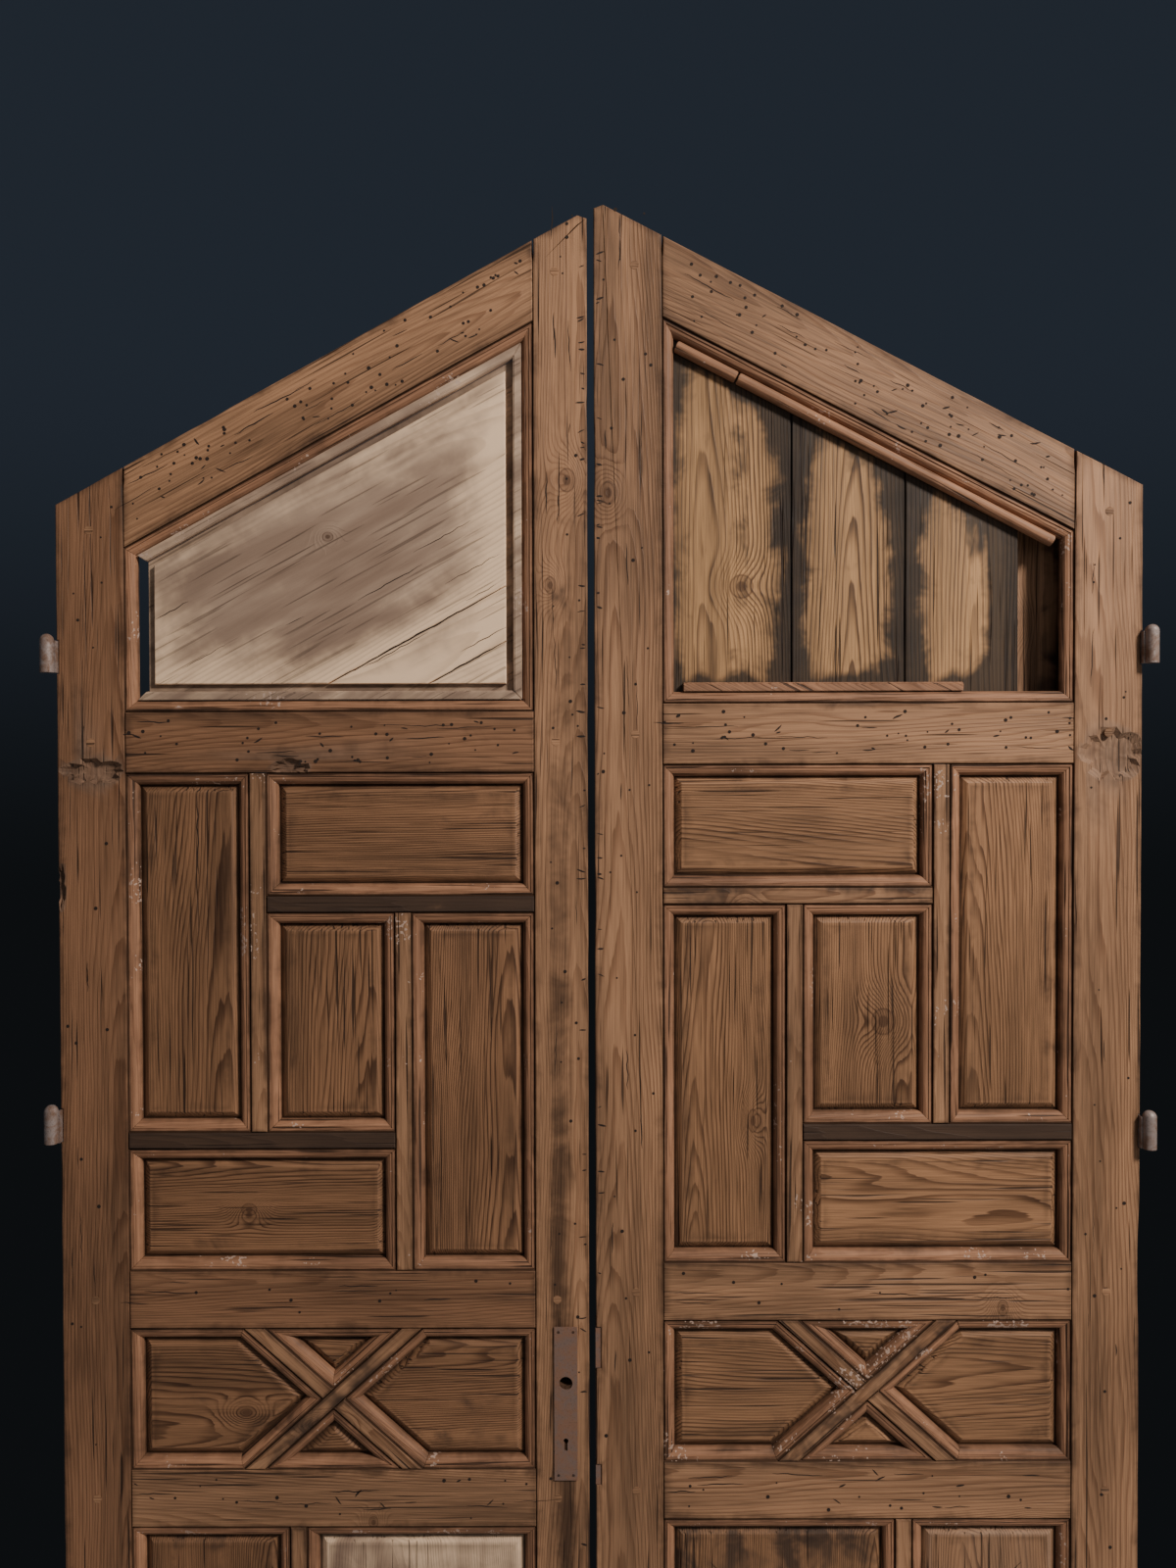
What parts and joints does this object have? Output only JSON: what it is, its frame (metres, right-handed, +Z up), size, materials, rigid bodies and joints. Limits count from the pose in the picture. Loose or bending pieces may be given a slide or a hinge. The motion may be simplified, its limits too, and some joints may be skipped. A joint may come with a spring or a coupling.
{
  "type": "gabled double door",
  "caption": "Worn pine double door with a gabled head, pinwheel and crossed panelling, loose mouldings, a rusted mortise lock and lift-off hinges.",
  "frame": {"origin": "centre of the closed pair at floor level, halfway through its depth", "axes": "+Z up, +X to the right seen from the front, the moulded front faces -Y"},
  "size_m": [1.33, 0.075, 2.4423],
  "materials": {
    "worn_pine": "weathered brown pine, dry and nail-marked",
    "panel_pine": "brown pine with open grain",
    "dark_pine": "dark stained pine",
    "bleached_pine": "bleached pine with traces of old paint",
    "rusted_plate": "rusted iron sheet",
    "forged_iron": "weathered forged iron"
  },
  "bodies": {
    "pins": {"hinge_pins": "forged_iron"},
    "left_leaf": {"left_hinge_stile": "worn_pine", "left_meeting_stile": "worn_pine", "left_raking_rail": "worn_pine", "left_frieze_rail": "worn_pine", "left_high_rail": "worn_pine", "left_low_rail": "worn_pine", "left_bottom_rail": "worn_pine", "left_muntins": "dark_pine", "left_cross_bars": "dark_pine", "left_pinwheel_panels": "panel_pine", "left_cross_panels": "panel_pine", "left_lower_panels": "panel_pine", "left_head_boards": "bleached_pine", "left_head_beads": "bleached_pine", "left_pinwheel_mouldings": "worn_pine", "left_cross_mouldings": "worn_pine", "left_lower_mouldings": "worn_pine", "left_head_mouldings": "worn_pine", "left_pegs": "dark_pine", "left_hinge_halves": "forged_iron", "left_hinge_screws": "forged_iron", "lock_plate": "rusted_plate", "rear_lock_plate": "rusted_plate", "lock_plate_nails": "forged_iron", "lock_case": "rusted_plate", "lock_case_cover": "rusted_plate", "forend": "rusted_plate", "forend_screws": "forged_iron", "latch_spring": "forged_iron", "lock_lever": "forged_iron"},
    "right_leaf": {"right_hinge_stile": "worn_pine", "right_meeting_stile": "worn_pine", "right_raking_rail": "worn_pine", "right_frieze_rail": "worn_pine", "right_high_rail": "worn_pine", "right_low_rail": "worn_pine", "right_bottom_rail": "worn_pine", "right_muntins": "dark_pine", "right_cross_bars": "dark_pine", "right_pinwheel_panels": "panel_pine", "right_cross_panels": "panel_pine", "right_lower_panels": "panel_pine", "right_head_boards": "bleached_pine", "right_head_beads": "bleached_pine", "right_pinwheel_mouldings": "worn_pine", "right_cross_mouldings": "worn_pine", "right_lower_mouldings": "worn_pine", "right_head_mouldings": "worn_pine", "right_pegs": "dark_pine", "right_hinge_halves": "forged_iron", "right_hinge_screws": "forged_iron", "rear_board": "dark_pine", "rear_board_nails": "forged_iron", "strike_plate": "rusted_plate", "strike_nails": "forged_iron"},
    "follower": {"follower": "forged_iron"},
    "latch_bolt": {"latch_bolt": "forged_iron"},
    "dead_bolt": {"dead_bolt": "forged_iron"}
  },
  "joints": [
    {"name": "left_swing", "type": "hinge", "parent": "pins", "child": "left_leaf", "pos_m": [-0.657, -0.0295, 1.2], "axis": [0, 0, -1], "range_deg": [0, 170]},
    {"name": "right_swing", "type": "hinge", "parent": "pins", "child": "right_leaf", "pos_m": [0.657, -0.0295, 1.2], "axis": [0, 0, 1], "range_deg": [0, 170]},
    {"name": "follower_turn", "type": "hinge", "parent": "left_leaf", "child": "follower", "pos_m": [-0.042, 0, 1.03], "axis": [0, 1, 0], "range_deg": [0, 40]},
    {"name": "latch_slide", "type": "slide", "parent": "left_leaf", "child": "latch_bolt", "axis": [1, 0, 0], "range_m": [0, 0.012]},
    {"name": "dead_bolt_slide", "type": "slide", "parent": "left_leaf", "child": "dead_bolt", "axis": [1, 0, 0], "range_m": [0, 0.014]}
  ],
  "couplings": [
    {"joint": "latch_slide", "follows": "follower_turn", "m_per_rad": 0.0171}
  ]
}
